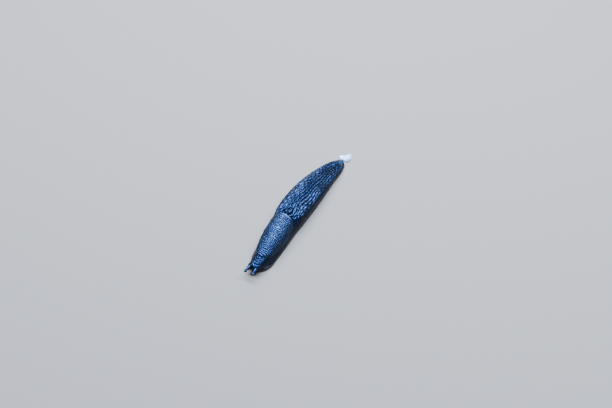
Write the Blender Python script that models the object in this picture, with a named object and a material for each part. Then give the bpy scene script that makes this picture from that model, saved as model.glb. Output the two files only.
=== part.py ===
"""A large black slug, crawling, at life size.

It lies on the plane z = 0 with its head towards -Y, so its own left side is +X. The origin is on the
sole, under the middle of the body. Places on the animal are given along the body from the snout, and
round the body as an angle from the middle of the back, positive to the animal's left.
"""

import math

import bmesh
import bpy
import numpy as np
from mathutils import Matrix, Vector

MM = 0.001

# Length and pose of the body
BODY_LENGTH = 98 * MM  # to the end of the back
SNOUT = 0.7 * MM  # the snout's place; the upper feelers reach ahead of it
BEND_START = 46 * MM  # the straighter front turns into the bent rear here, which is the origin
FRONT_BEND_RADIUS = 440 * MM
REAR_BEND_RADIUS = 228 * MM
HEAD_TURN = 2.1 * MM  # how far the snout is carried to the animal's right
HEAD_TURN_LENGTH = 14 * MM

# Gaps and cuts between the nodes
GAP = 0.3 * MM
NECK_CUT = 13.5 * MM
WAIST_CUT = 39 * MM
BACK_CUT = 64 * MM
TAIL_CUT = 84 * MM
FOOT_CUTS = (33 * MM, 67 * MM)

# Trunk: share of the body's length, half width, height of the back over the floor
TRUNK = (
    (0.00, 4.0, 6.9),
    (0.05, 4.6, 7.6),
    (0.10, 5.2, 8.4),
    (0.18, 6.1, 9.9),
    (0.28, 7.0, 11.6),
    (0.39, 7.8, 12.7),
    (0.45, 9.1, 14.0),
    (0.53, 9.5, 14.3),
    (0.58, 9.4, 14.1),
    (0.68, 9.0, 12.8),
    (0.80, 7.5, 10.4),
    (0.90, 5.9, 7.6),
    (1.00, 4.2, 4.8),
)
SNOUT_ROUND = 2.4 * MM
SNOUT_POWER = 2.5
TAIL_ROUND = 9 * MM
TAIL_POWER = 2.4
WIDEST_SHARE = 0.28  # the body is widest at this share of its height over the foot
SNOUT_WIDEST_SHARE = 0.42
SNOUT_BLEND = 7 * MM
CHIN_IN = 0.42  # share of its width by which the head draws in under the snout
SIDE_ANGLE = math.radians(108)  # from the back's middle down to the groove over the foot
FLARE_ANGLE = math.radians(55)  # from here down the flank spreads to the foot's edge
FLARE_INSET = 1.0 * MM
FLARE_AT_HEAD = 0.35  # share of the spread that the head has; it grows to the whole over the neck

# Foot: share of the body's length, half width of the sole's fringe
FOOT = (
    (0.00, 6.2),
    (0.05, 6.8),
    (0.10, 7.4),
    (0.16, 8.0),
    (0.26, 8.8),
    (0.40, 9.3),
    (0.52, 9.9),
    (0.66, 9.6),
    (0.80, 7.9),
    (0.90, 6.4),
    (1.00, 4.7),
)
FOOT_HEIGHT = 2.1 * MM
FOOT_FRONT = 2.8 * MM  # along the body
FOOT_REAR = 101.6 * MM
FOOT_FRONT_ROUND = 9 * MM
FOOT_REAR_ROUND = 8 * MM
FRINGE_POINTS = 176
FRINGE_GROOVE = 0.2 * MM
# Fringe section from the sole up: inset from the outline, height, share of the groove's depth
FRINGE_SECTION = (
    (0.5 * MM, 0.0, 0.0),
    (0.0, 0.25 * MM, 1.0),
    (0.1 * MM, 0.8 * MM, 1.0),
    (0.4 * MM, 1.5 * MM, 1.0),
    (0.95 * MM, FOOT_HEIGHT, 0.0),
)
BASE = FOOT_HEIGHT + GAP  # underside of the trunk

# Tubercles of the back: rows round the body, each a file of long grains that lie between the ends of
# their neighbours
TUBERCLE_LENGTH = 4.8 * MM
TUBERCLE_HEIGHT = 0.6 * MM
TUBERCLE_ROWS = 20
TAIL_TUBERCLE_ROWS = 14
STEPS_PER_TUBERCLE = 6
TUBERCLE_BULGE = 0.3  # share of a row's width by which a grain's middle widens over its neighbours' ends
ROW_WANDER = 0.3  # how far the rows wave sideways, as a share of a row's width
ROW_WAVE_LENGTH = 19 * MM
TUBERCLE_SEED = 7

# Mantle
MANTLE_FRONT = 9.8 * MM
MANTLE_REAR = 40.8 * MM
MANTLE_ANGLE = math.radians(86)
MANTLE_POWER = 2.5
MANTLE_THICKNESS = 1.35 * MM
MANTLE_RIM = 0.55 * MM
MANTLE_FRONT_LIFT = 0.2 * MM  # the free front edge stands this much further off the neck
MANTLE_STEPS_ALONG = 28
MANTLE_STEPS_ROUND = 24
MANTLE_GRAIN = 0.14 * MM  # height of the low grains on the mantle
BREATHING_HOLE_ALONG = 21 * MM
BREATHING_HOLE_ANGLE = math.radians(-60)
BREATHING_HOLE_RADIUS = 0.85 * MM

# Head
HEAD_STATIONS = (0.1, 0.35, 0.7, 1.2, 1.8, 2.6, 3.7, 5.0, 6.4, 8.0, 9.8)  # mm behind the snout
HEAD_ARCH_STEPS = 24
HEAD_UNDER_STEPS = 5
HEAD_FURROW_ANGLE = math.radians(18)
HEAD_FURROW_DEPTH = 0.28 * MM

# Feelers: where the root meets its stump, along the body, out from the middle and over the floor, then
# size and lie. A stump is part of the head: it widens over its length into the skin it grows from.
UPPER_FEELER = {
    "along": 1.2 * MM, "out": 2.25 * MM, "height": 6.0 * MM, "length": 2.9 * MM, "root_radius": 1.0 * MM,
    "tip_radius": 0.8 * MM, "stump": 3.8 * MM, "stump_radius": 1.4 * MM, "rise": 3.0,
}
LOWER_FEELER = {
    "along": 0.9 * MM, "out": 1.95 * MM, "height": 3.85 * MM, "length": 1.5 * MM, "root_radius": 0.55 * MM,
    "tip_radius": 0.48 * MM, "stump": 1.6 * MM, "stump_radius": 0.85 * MM, "rise": -14.0,
}
UPPER_SPLAY = {"left": 0.5, "right": 9.0}  # degrees outwards
LOWER_SPLAY = {"left": 24.0, "right": 24.0}
FEELER_SIDES = 14
EYE_RADIUS = 0.95 * MM
EYE_LENGTH = 1.5 * MM

# Lips and mouth
LIP_OUT = 0.8 * MM
LIP_ALONG = 1.5 * MM
LIP_HEIGHT = 3.4 * MM
LIP_SIZE = (0.95 * MM, 1.05 * MM, 0.95 * MM)
MOUTH_WIDTH = 2.4 * MM
MOUTH_GAP = 0.4 * MM
MOUTH_DEPTH = 1.1 * MM
MOUTH_DROP = 0.35 * MM  # the mouth's line lies this much under the lips' middle
CLEFT_HEIGHT = 1.6 * MM

# Slime plug behind the tail: along the body, out to the left, half sizes across, along and up
PLUG_LOBES = (
    (105.6 * MM, 0.3 * MM, 2.1 * MM, 3.2 * MM, 2.2 * MM),
    (103.3 * MM, -3.1 * MM, 2.4 * MM, 1.7 * MM, 1.2 * MM),
    (108.0 * MM, -0.6 * MM, 1.3 * MM, 1.6 * MM, 1.3 * MM),
    (104.6 * MM, -1.7 * MM, 1.8 * MM, 2.0 * MM, 1.3 * MM),
)
TAIL_PIT_HEIGHT = 4.3 * MM
TAIL_PIT_SIZE = (0.9 * MM, 1.5 * MM, 1.1 * MM)

BLACK_SKIN = (0.012, 0.018, 0.030)
MANTLE_SKIN = (0.020, 0.030, 0.048)
FOOT_SKIN = (0.060, 0.045, 0.038)
FEELER_SKIN = (0.022, 0.035, 0.065)
EYE_BLACK = (0.004, 0.005, 0.010)
SLIME_WHITE = (0.62, 0.70, 0.76)


def make_material(name, colour, roughness):
    """A Principled BSDF with this colour and roughness."""
    material = bpy.data.materials.new(name)
    material.use_nodes = True
    shader = material.node_tree.nodes["Principled BSDF"]
    shader.inputs["Base Color"].default_value = (*colour, 1.0)
    shader.inputs["Roughness"].default_value = roughness
    shader.inputs["Metallic"].default_value = 0.0
    return material


def smooth_through(x, places, values):
    """A smooth curve through the points that never overshoots them."""
    places, values = np.array(places, float), np.array(values, float)
    steps = np.diff(places)
    slopes = np.diff(values) / steps
    tangents = np.concatenate(([slopes[0]], (slopes[:-1] + slopes[1:]) / 2, [slopes[-1]]))
    turning = slopes[:-1] * slopes[1:] <= 0
    tangents[1:-1][turning] = 0.0
    limit = 3 * np.minimum(np.abs(np.append(slopes, slopes[-1])), np.abs(np.insert(slopes, 0, slopes[0])))
    tangents = np.clip(tangents, -limit, limit)
    x = np.clip(x, places[0], places[-1])
    i = np.clip(np.searchsorted(places, x, side="right") - 1, 0, len(steps) - 1)
    t = (x - places[i]) / steps[i]
    rise = values[i + 1] - values[i]
    return (
        values[i]
        + rise * t * t * (3 - 2 * t)
        + steps[i] * t * (1 - t) * (tangents[i] * (1 - t) - tangents[i + 1] * t)
    )


def smooth_step(t):
    t = np.clip(t, 0.0, 1.0)
    return t * t * (3 - 2 * t)


def round_ends(along, front, front_power, front_from, rear, rear_power, rear_to):
    """1 along the middle, falling to 0 at both ends as a blunt round does."""
    ahead = np.clip(1 - (along - front_from) / front, 0, 1)
    behind = np.clip(1 - (rear_to - along) / rear, 0, 1)
    return np.sqrt(1 - ahead**front_power) * np.sqrt(1 - behind**rear_power)


def centre_line(along, head_turns=True):
    """Plan position of the body's middle and the unit vector to the animal's left."""
    radius = np.where(along < BEND_START, FRONT_BEND_RADIUS, REAR_BEND_RADIUS)
    turn = (along - BEND_START) / radius
    x, y = radius * (1 - np.cos(turn)), radius * np.sin(turn)
    if head_turns:
        x = x - HEAD_TURN * np.clip(1 - along / HEAD_TURN_LENGTH, 0, 1) ** 2
    return np.stack([x, y], -1), np.stack([np.cos(turn), -np.sin(turn)], -1)


def trunk_sizes(along):
    """Half width, height of the widest line, and how far the section reaches over and under that line."""
    share = along / BODY_LENGTH
    shares, widths, heights = zip(*TRUNK)
    width = smooth_through(share, shares, widths) * MM
    height = smooth_through(share, shares, heights) * MM
    round_off = round_ends(along, SNOUT_ROUND, SNOUT_POWER, SNOUT, TAIL_ROUND, TAIL_POWER, BODY_LENGTH)
    nearness = 1 - smooth_step((along - SNOUT) / SNOUT_BLEND)
    widest = BASE + (height - BASE) * (WIDEST_SHARE + (SNOUT_WIDEST_SHARE - WIDEST_SHARE) * nearness)
    return width * round_off, widest, (height - widest) * round_off, (widest - BASE) * round_off


def foot_half_width(along):
    shares, widths = zip(*FOOT)
    width = smooth_through(along / BODY_LENGTH, shares, widths) * MM
    return width * round_ends(along, FOOT_FRONT_ROUND, 2.3, FOOT_FRONT, FOOT_REAR_ROUND, 2.4, FOOT_REAR)


def low_flank(along, angle, width):
    """How far out the section lies: drawn in at the chin, and spread low on the flank to meet the foot."""
    room = np.maximum(foot_half_width(along) - FLARE_INSET - width * math.sin(SIDE_ANGLE), 0)
    round_off = round_ends(along, SNOUT_ROUND, SNOUT_POWER, SNOUT, TAIL_ROUND, TAIL_POWER, BODY_LENGTH)
    low = np.clip((np.abs(angle) - FLARE_ANGLE) / (SIDE_ANGLE - FLARE_ANGLE), 0, 1)
    share = FLARE_AT_HEAD + (1 - FLARE_AT_HEAD) * smooth_step((along - 4 * MM) / (8 * MM))
    chin = 1 - CHIN_IN * (1 - smooth_step((along - SNOUT) / SNOUT_BLEND)) * low**2
    return width * np.sin(angle) * chin + np.sign(angle) * room * round_off * share * low**3


def trunk_surface(along, angle, lift=0.0):
    """Points of the trunk's skin, for arrays of one shape. lift raises the skin in its section."""
    along, angle = np.asarray(along, float), np.asarray(angle, float)
    width, widest, over, under = trunk_sizes(along)
    reach = np.where(np.abs(angle) <= math.pi / 2, over, under / -math.cos(SIDE_ANGLE))
    out_normal = np.sin(angle) * np.maximum(reach, MM / 10)
    up_normal = np.cos(angle) * np.maximum(width, MM / 10)
    size = np.hypot(out_normal, up_normal)
    out = low_flank(along, angle, width) + lift * out_normal / size
    up = widest + reach * np.cos(angle) + lift * up_normal / size
    middle, left = centre_line(along)
    plan = middle + left * out[..., None]
    return np.concatenate([plan, up[..., None]], -1)


def place_on_body(along, out, height, head_turns=True):
    """The point at this place along the body, this far to the animal's left and over the floor."""
    middle, left = centre_line(np.array(along), head_turns)
    x, y = middle + left * out
    return Vector((x, y, height))


def body_turn(along):
    """Rotation from the straight body's axes to the bent body's at this place."""
    _, left = centre_line(np.array(along))
    return Matrix.Rotation(math.atan2(left[1], left[0]), 4, "Z")


def new_object(name, mesh, material):
    obj = bpy.data.objects.new(name, mesh)
    bpy.context.collection.objects.link(obj)
    mesh.materials.clear()
    mesh.materials.append(material)
    return obj


def mesh_from(name, bm):
    bmesh.ops.recalc_face_normals(bm, faces=bm.faces)
    mesh = bpy.data.meshes.new(name)
    bm.to_mesh(mesh)
    bm.free()
    return mesh


def smooth_shading(obj, degrees=40):
    obj.data.shade_smooth()
    obj.data.set_sharp_from_angle(angle=math.radians(degrees))


def fan(bm, ring, middle):
    """Closes a ring of vertices with triangles to a point in its middle."""
    centre = bm.verts.new(middle)
    for a, b in zip(ring, ring[1:] + ring[:1]):
        bm.faces.new((a, b, centre))


def bridge(bm, ring, following):
    """Quads between two rings with the same number of vertices."""
    count = len(ring)
    for i in range(count):
        j = (i + 1) % count
        bm.faces.new((ring[i], ring[j], following[j], following[i]))


def loft(name, rings, material, tip_front=None, tip_rear=None):
    """One closed object through rings of points. An end without a tip point gets a flat cap."""
    bm = bmesh.new()
    made = [[bm.verts.new(point) for point in ring] for ring in rings]
    for ring, following in zip(made, made[1:]):
        bridge(bm, ring, following)
    fan(bm, made[0], Vector(np.mean(rings[0], 0)) if tip_front is None else tip_front)
    fan(bm, made[-1], Vector(np.mean(rings[-1], 0)) if tip_rear is None else tip_rear)
    obj = new_object(name, mesh_from(name, bm), material)
    smooth_shading(obj)
    return obj


def combine(obj, pieces, operation):
    """Joins or cuts the object with the pieces in one Boolean, applies it and removes the pieces."""
    group = bpy.data.collections.new("pieces")
    for piece in pieces:
        for owner in piece.users_collection:
            owner.objects.unlink(piece)
        group.objects.link(piece)
    modifier = obj.modifiers.new("combine", "BOOLEAN")
    modifier.operand_type = "COLLECTION"
    modifier.collection = group
    modifier.operation = operation
    modifier.solver = "EXACT"
    evaluated = obj.evaluated_get(bpy.context.evaluated_depsgraph_get())
    mesh = bpy.data.meshes.new_from_object(evaluated)
    obj.modifiers.clear()
    obj.data = mesh
    material = obj.data.materials[0]
    obj.data.materials.clear()
    obj.data.materials.append(material)
    for piece in pieces:
        bpy.data.objects.remove(piece)
    bpy.data.collections.remove(group)
    smooth_shading(obj)


def keep_largest_body(obj):
    """Deletes every loose scrap and sealed surface but the largest one."""
    bm = bmesh.new()
    bm.from_mesh(obj.data)
    unseen, bodies = set(bm.verts), []
    while unseen:
        body, front = set(), [unseen.pop()]
        while front:
            vertex = front.pop()
            body.add(vertex)
            linked = {edge.other_vert(vertex) for edge in vertex.link_edges} & unseen
            unseen -= linked
            front.extend(linked)
        bodies.append(body)
    bodies.sort(key=len)
    bmesh.ops.delete(bm, geom=[v for body in bodies[:-1] for v in body], context="VERTS")
    bm.to_mesh(obj.data)
    bm.free()


def ellipsoid(name, centre, half_sizes, material, turn=None, segments=16, rings=10):
    """A closed ellipsoid, turned about its centre."""
    bm = bmesh.new()
    bmesh.ops.create_uvsphere(bm, u_segments=segments, v_segments=rings, radius=1.0)
    size = Matrix.Diagonal((*half_sizes, 1.0))
    bm.transform(Matrix.Translation(centre) @ (turn or Matrix.Identity(4)) @ size)
    return new_object(name, mesh_from(name, bm), material)


def along_axis(start, direction):
    """Matrix that puts +Z of a turned shape on a direction from a start point."""
    return Matrix.Translation(start) @ direction.to_track_quat("Z", "Y").to_matrix().to_4x4()


def turned(name, profile, start, direction, material, sides=FEELER_SIDES):
    """A shape turned about an axis from start, from (radius, distance) points. Its ends are closed."""
    bm = bmesh.new()
    rings = []
    for radius, distance in profile:
        ring = bmesh.ops.create_circle(bm, segments=sides, radius=radius, cap_ends=False)["verts"]
        bmesh.ops.translate(bm, verts=ring, vec=(0, 0, distance))
        rings.append(ring)
    for ring, following in zip(rings, rings[1:]):
        bridge(bm, ring, following)
    bm.faces.new(rings[0])
    bm.faces.new(rings[-1])
    bm.transform(along_axis(start, direction))
    obj = new_object(name, mesh_from(name, bm), material)
    smooth_shading(obj)
    return obj


def mantle_nearness(along, angle):
    """0 in the middle of the mantle and 1 on its edge."""
    middle, half = (MANTLE_FRONT + MANTLE_REAR) / 2, (MANTLE_REAR - MANTLE_FRONT) / 2
    return (
        np.abs((along - middle) / half) ** MANTLE_POWER + np.abs(angle / MANTLE_ANGLE) ** MANTLE_POWER
    ) ** (1 / MANTLE_POWER)


def grain_phase(along, row, random):
    """How far along its grain a row is at this place, from 0 to 1, and the grain's number."""
    count = along / TUBERCLE_LENGTH + 0.5 * (row % 2) + random["shift"][row]
    return count % 1.0, int(count) % random["height"].shape[1]


def grain_width(along, row, rows, random):
    """0 at a grain's ends and 1 at its middle, and 0.5 beyond the outer rows."""
    if not 0 <= row < rows:
        return 0.5
    phase, _ = grain_phase(along, row, random)
    return math.sin(math.pi * phase) ** 0.7


def tubercle_lift(along, angle, row, random):
    """Height of a row's crest at this place."""
    phase, number = grain_phase(along, row, random)
    profile = math.sin(math.pi * phase**0.85) ** 0.8
    clear_of_mantle = float(smooth_step((mantle_nearness(along, angle) - 1.03) / 0.12))
    near_foot = 1 - 0.6 * (abs(angle) / SIDE_ANGLE) ** 4
    small_tail = 0.5 + 0.5 * min(1.0, (BODY_LENGTH - along) / (20 * MM))
    height = TUBERCLE_HEIGHT * random["height"][row, number] * profile
    return height * clear_of_mantle * near_foot * small_tail


def tubercled_ring(along, rows, random):
    """One ring of the back's skin: a valley on each side of every row, and the row's crest between them."""
    row_angle = 2 * SIDE_ANGLE / rows
    wander = ROW_WANDER * row_angle * math.sin(2 * math.pi * along / ROW_WAVE_LENGTH)
    angles, lifts = [], []
    for column in range(2 * rows + 1):
        row = column // 2
        angle = -SIDE_ANGLE + row_angle * column / 2
        inside = 1 - (abs(angle) / SIDE_ANGLE) ** 6
        lift = 0.0
        if column % 2:
            lift = tubercle_lift(along, angle, row, random)
        else:
            widths = [grain_width(along, beside, rows, random) for beside in (row - 1, row)]
            angle += TUBERCLE_BULGE * row_angle * (widths[0] - widths[1]) * inside
        angles.append(angle + wander * inside)
        lifts.append(lift)
    return trunk_surface(np.full(len(angles), along), np.array(angles), np.array(lifts))


def tubercled_length(name, start, end, rows, material):
    """A length of the back with staggered rows of long tubercles raised in its surface."""
    step = TUBERCLE_LENGTH / STEPS_PER_TUBERCLE
    inner = np.arange(math.ceil(start / step + 0.3), math.floor(end / step - 0.3) + 1) * step
    places = [start, *inner, end]
    tapers_off = end >= BODY_LENGTH
    if tapers_off:
        closing = [end - share * step for share in (0.5, 0.22, 0.05)]
        places = places[:-1] + [place for place in closing if place > inner[-1]]
    source = np.random.default_rng(TUBERCLE_SEED)
    random = {"shift": source.uniform(-0.09, 0.09, rows), "height": source.uniform(0.72, 1.08, (rows, 40))}
    rings = [tubercled_ring(place, rows, random) for place in places]
    tip = Vector(trunk_surface(np.array([end]), np.array([0.0]))[0]) if tapers_off else None
    return loft(name, rings, material, tip_rear=tip)


def make_torso_front(material):
    """The smooth length under the mantle."""
    places = np.linspace(NECK_CUT + GAP / 2, WAIST_CUT - GAP / 2, 16)
    angles = np.linspace(-SIDE_ANGLE, SIDE_ANGLE, 29)
    rings = [trunk_surface(np.full(len(angles), place), angles) for place in places]
    return loft("torso_front", rings, material)


def make_tail(material):
    """The last length of the back, with the slime gland's pit in its end."""
    tail = tubercled_length("tail", TAIL_CUT + GAP / 2, BODY_LENGTH, TAIL_TUBERCLE_ROWS, material)
    end = place_on_body(BODY_LENGTH, 0.0, TAIL_PIT_HEIGHT)
    pit = ellipsoid("pit", end, TAIL_PIT_SIZE, material, body_turn(BODY_LENGTH), 12, 8)
    combine(tail, [pit], "DIFFERENCE")
    keep_largest_body(tail)
    return tail


def make_mantle(material):
    """The shield over the front of the body: an oval shell, with the breathing hole on the right."""
    turns = np.linspace(-1, 1, MANTLE_STEPS_ALONG + 1)[1:-1]
    shares = np.sin(turns * math.pi / 2)
    across = np.sin(np.linspace(-1, 1, MANTLE_STEPS_ROUND + 1) * math.pi / 2)
    middle, half = (MANTLE_FRONT + MANTLE_REAR) / 2, (MANTLE_REAR - MANTLE_FRONT) / 2

    def points(share, steps, outer, ring=0):
        widest = MANTLE_ANGLE * (1 - abs(share) ** MANTLE_POWER) ** (1 / MANTLE_POWER)
        along = np.full(len(steps), middle + half * share)
        angles = widest * steps
        nearness = np.clip(mantle_nearness(along, angles), 0, 1)
        under = GAP + MANTLE_FRONT_LIFT * smooth_step((NECK_CUT + 1 * MM - along) / (4 * MM))
        if not outer:
            return trunk_surface(along, angles, under)
        inward = np.sqrt(np.clip(1 - nearness**5, 0, 1))
        crown = (MANTLE_THICKNESS - MANTLE_RIM) * (1 - 0.35 * np.abs(angles / MANTLE_ANGLE) ** 2)
        grain = MANTLE_GRAIN * ((np.arange(len(steps)) + ring) % 2)
        return trunk_surface(along, angles, under + MANTLE_RIM + (crown + grain) * inward)

    rings = []
    for ring, share in enumerate(shares):
        rings.append(np.concatenate([points(share, across, True, ring), points(share, across[::-1], False)]))
    tips = [
        Vector(np.mean([points(end, np.zeros(1), True)[0], points(end, np.zeros(1), False)[0]], 0))
        for end in (-1, 1)
    ]
    mantle = loft("mantle", rings, material, tips[0], tips[1])
    on_skin, over_skin = (
        Vector(trunk_surface(np.array([BREATHING_HOLE_ALONG]), np.array([BREATHING_HOLE_ANGLE]), lift)[0])
        for lift in (0.0, 3 * MM)
    )
    outward = (over_skin - on_skin).normalized()
    hole = [(BREATHING_HOLE_RADIUS, 0.0), (BREATHING_HOLE_RADIUS * 1.5, 3 * MM)]
    combine(mantle, [turned("hole", hole, on_skin, outward, material, 12)], "DIFFERENCE")
    keep_largest_body(mantle)
    return mantle


def head_lift(along, angles):
    """The two furrows along the neck."""
    beside = np.exp(-(((np.abs(angles) - HEAD_FURROW_ANGLE) / math.radians(6)) ** 2))
    fades = smooth_step((along - SNOUT - 2.5 * MM) / (2 * MM))
    return -HEAD_FURROW_DEPTH * beside * fades


def feeler_frame(feeler, side, splay):
    """Root point and direction of a feeler."""
    sign = 1 if side == "left" else -1
    root = place_on_body(feeler["along"], sign * feeler["out"], feeler["height"])
    turn, rise = math.radians(splay[side]) * sign, math.radians(feeler["rise"])
    ahead = Vector((math.sin(turn) * math.cos(rise), -math.cos(turn) * math.cos(rise), math.sin(rise)))
    return root, (body_turn(feeler["along"]) @ ahead).normalized()


def head_extras(material):
    """The stumps that the feelers stand on and the two lips, which join the head."""
    extras = []
    for side in ("left", "right"):
        sign = 1 if side == "left" else -1
        for feeler, splay in ((UPPER_FEELER, UPPER_SPLAY), (LOWER_FEELER, LOWER_SPLAY)):
            root, ahead = feeler_frame(feeler, side, splay)
            radius, wide, length = feeler["root_radius"], feeler["stump_radius"], feeler["stump"]
            between = 0.4 * wide + 0.6 * radius
            shape = [(wide, 0.0), (wide, 0.4 * length), (between, 0.7 * length), (radius, length)]
            extras.append(turned("stump", shape, root - ahead * length, ahead, material))
        lip = place_on_body(LIP_ALONG, sign * LIP_OUT, LIP_HEIGHT)
        extras.append(ellipsoid("lip", lip, LIP_SIZE, material, body_turn(LIP_ALONG), 12, 8))
    return extras


def mouth_cutters(material):
    """The mouth's line across the lips, and the cleft between them."""
    turn = body_turn(LIP_ALONG)
    mouth = place_on_body(SNOUT, 0.0, LIP_HEIGHT - MOUTH_DROP)
    cleft = place_on_body(SNOUT, 0.0, LIP_HEIGHT + MOUTH_DROP)
    across = (MOUTH_WIDTH / 2, MOUTH_DEPTH, MOUTH_GAP / 2)
    upright = (MOUTH_GAP / 2, MOUTH_DEPTH, CLEFT_HEIGHT / 2)
    return [
        ellipsoid("mouth", mouth, across, material, turn, 12, 8),
        ellipsoid("cleft", cleft, upright, material, turn, 12, 8),
    ]


def make_head(material):
    """Head and neck, out from under the mantle to the snout."""
    places = np.append(SNOUT + np.array(HEAD_STATIONS) * MM, NECK_CUT - GAP / 2)
    angles = np.linspace(-SIDE_ANGLE, SIDE_ANGLE, HEAD_ARCH_STEPS + 1)
    under = np.linspace(0, 1, HEAD_UNDER_STEPS + 1)[1:-1, None]
    rings = []
    for place in places:
        arch = trunk_surface(np.full(len(angles), place), angles, head_lift(place, angles))
        rings.append(np.concatenate([arch, arch[-1] + (arch[0] - arch[-1]) * under]))
    snout = Vector(trunk_surface(np.array([SNOUT]), np.array([0.0]))[0])
    head = loft("head", rings, material, tip_front=snout)
    combine(head, head_extras(material), "UNION")
    keep_largest_body(head)
    combine(head, mouth_cutters(material), "DIFFERENCE")
    keep_largest_body(head)
    return head


def make_feelers(skin, eye_material):
    """The four feelers on their stumps, and the eye bulbs on the ends of the upper two."""
    for side in ("left", "right"):
        root, ahead = feeler_frame(UPPER_FEELER, side, UPPER_SPLAY)
        wide, narrow, length = (UPPER_FEELER[key] for key in ("root_radius", "tip_radius", "length"))
        shape = [(wide, GAP), (0.94 * wide, 0.3 * length), (0.9 * narrow, 0.75 * length), (narrow, length)]
        turned(f"upper_tentacle_{side}", shape, root, ahead, skin)
        make_eye(side, root + ahead * (length + GAP), ahead, eye_material)
        root, ahead = feeler_frame(LOWER_FEELER, side, LOWER_SPLAY)
        wide, narrow, length = (LOWER_FEELER[key] for key in ("root_radius", "tip_radius", "length"))
        steps = np.radians((0, 30, 55, 75))
        dome = [(narrow * math.cos(t), length + narrow * (math.sin(t) - 1)) for t in steps]
        turned(f"lower_tentacle_{side}", [(wide, GAP), *dome], root, ahead, skin)


def make_eye(side, start, ahead, material):
    """The round bulb that holds the eye, flat where it meets the feeler."""
    steps = np.radians(np.linspace(-50, 75, 7))
    low, high = math.sin(steps[0]), math.sin(steps[-1])
    shape = [(EYE_RADIUS * math.cos(t), EYE_LENGTH * (math.sin(t) - low) / (high - low)) for t in steps]
    turned(f"eye_{side}", shape, start, ahead, material)


def foot_outline():
    """Evenly spaced points round the foot, from the front along the left side and back along the right."""
    turns = np.linspace(0, math.pi, 400)
    along = FOOT_FRONT + (FOOT_REAR - FOOT_FRONT) * (1 - np.cos(turns)) / 2
    middle, left = centre_line(along, head_turns=False)
    width = foot_half_width(along)[:, None]
    half = FRINGE_POINTS // 2
    sides = []
    for sign in (1, -1):
        edge = middle + sign * left * width
        run = np.concatenate([[0], np.cumsum(np.hypot(*np.diff(edge, axis=0).T))])
        even = np.linspace(0, run[-1], half + 1)
        sides.append(np.stack([np.interp(even, run, edge[:, k]) for k in (0, 1)], -1))
    return np.concatenate([sides[0], sides[1][-2:0:-1]])


def make_foot(material):
    """The sole with its fringe, parted across into three lengths."""
    outline = foot_outline()
    count = len(outline)
    tangent = np.roll(outline, -1, 0) - np.roll(outline, 1, 0)
    tangent /= np.hypot(tangent[:, 0], tangent[:, 1])[:, None]
    inward = np.stack([-tangent[:, 1], tangent[:, 0]], -1)
    centre = outline.mean(0)
    if np.sum(inward * (centre - outline)) < 0:
        inward = -inward
    grooves = (np.arange(count) % 2)[:, None]
    bm = bmesh.new()
    loops = []
    for inset, height, groove in FRINGE_SECTION:
        plan = outline + inward * (inset + FRINGE_GROOVE * groove * grooves)
        loops.append([bm.verts.new((x, y, height)) for x, y in plan])
    for loop, following in zip(loops, loops[1:]):
        bridge(bm, loop, following)
    half = count // 2
    for loop in (loops[0], loops[-1]):
        for i in range(half):
            corners = [loop[i], loop[i + 1], loop[(count - i - 1) % count], loop[(count - i) % count]]
            bm.faces.new(list(dict.fromkeys(corners)))
    bmesh.ops.recalc_face_normals(bm, faces=bm.faces)
    whole = bpy.data.meshes.new("foot")
    bm.to_mesh(whole)
    bm.free()
    names = ("foot_front", "foot_middle", "foot_rear")
    starts = (None, *[cut + GAP / 2 for cut in FOOT_CUTS])
    ends = (*[cut - GAP / 2 for cut in FOOT_CUTS], None)
    for name, start, end in zip(names, starts, ends):
        piece = bmesh.new()
        piece.from_mesh(whole)
        for place, sign in ((start, -1), (end, 1)):
            if place is not None:
                part_across(piece, place, sign)
        smooth_shading(new_object(name, mesh_from(name, piece), material))
    bpy.data.meshes.remove(whole)


def part_across(bm, along, sign):
    """Cuts a mesh square across the body and closes it. Sign 1 keeps what lies ahead, -1 the rest."""
    middle = place_on_body(along, 0.0, 0.0, head_turns=False)
    backwards = body_turn(along) @ Vector((0, 1, 0)) * sign
    geometry = bm.verts[:] + bm.edges[:] + bm.faces[:]
    bmesh.ops.bisect_plane(bm, geom=geometry, plane_co=middle, plane_no=backwards, clear_outer=True)
    rim = [edge for edge in bm.edges if edge.is_boundary]
    bmesh.ops.edgeloop_fill(bm, edges=rim)


def make_plug(material):
    """The pale slime at the tail: low lobes that rest on the floor behind the foot."""
    lobes = []
    for along, out, across, lengthwise, height in PLUG_LOBES:
        centre, turn = place_on_body(along, out, 0.12 * height), body_turn(along)
        half_sizes = (across, lengthwise, height)
        lobes.append(ellipsoid("tail_slime_plug", centre, half_sizes, material, turn))
    plug = lobes[0]
    combine(plug, lobes[1:], "UNION")
    keep_largest_body(plug)
    bm = bmesh.new()
    bm.from_mesh(plug.data)
    geometry = bm.verts[:] + bm.edges[:] + bm.faces[:]
    bmesh.ops.bisect_plane(bm, geom=geometry, plane_co=(0, 0, 0), plane_no=(0, 0, -1), clear_outer=True)
    bmesh.ops.edgeloop_fill(bm, edges=[edge for edge in bm.edges if edge.is_boundary])
    part_across(bm, FOOT_REAR + GAP, -1)
    bmesh.ops.recalc_face_normals(bm, faces=bm.faces)
    bm.to_mesh(plug.data)
    bm.free()
    smooth_shading(plug)


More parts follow.
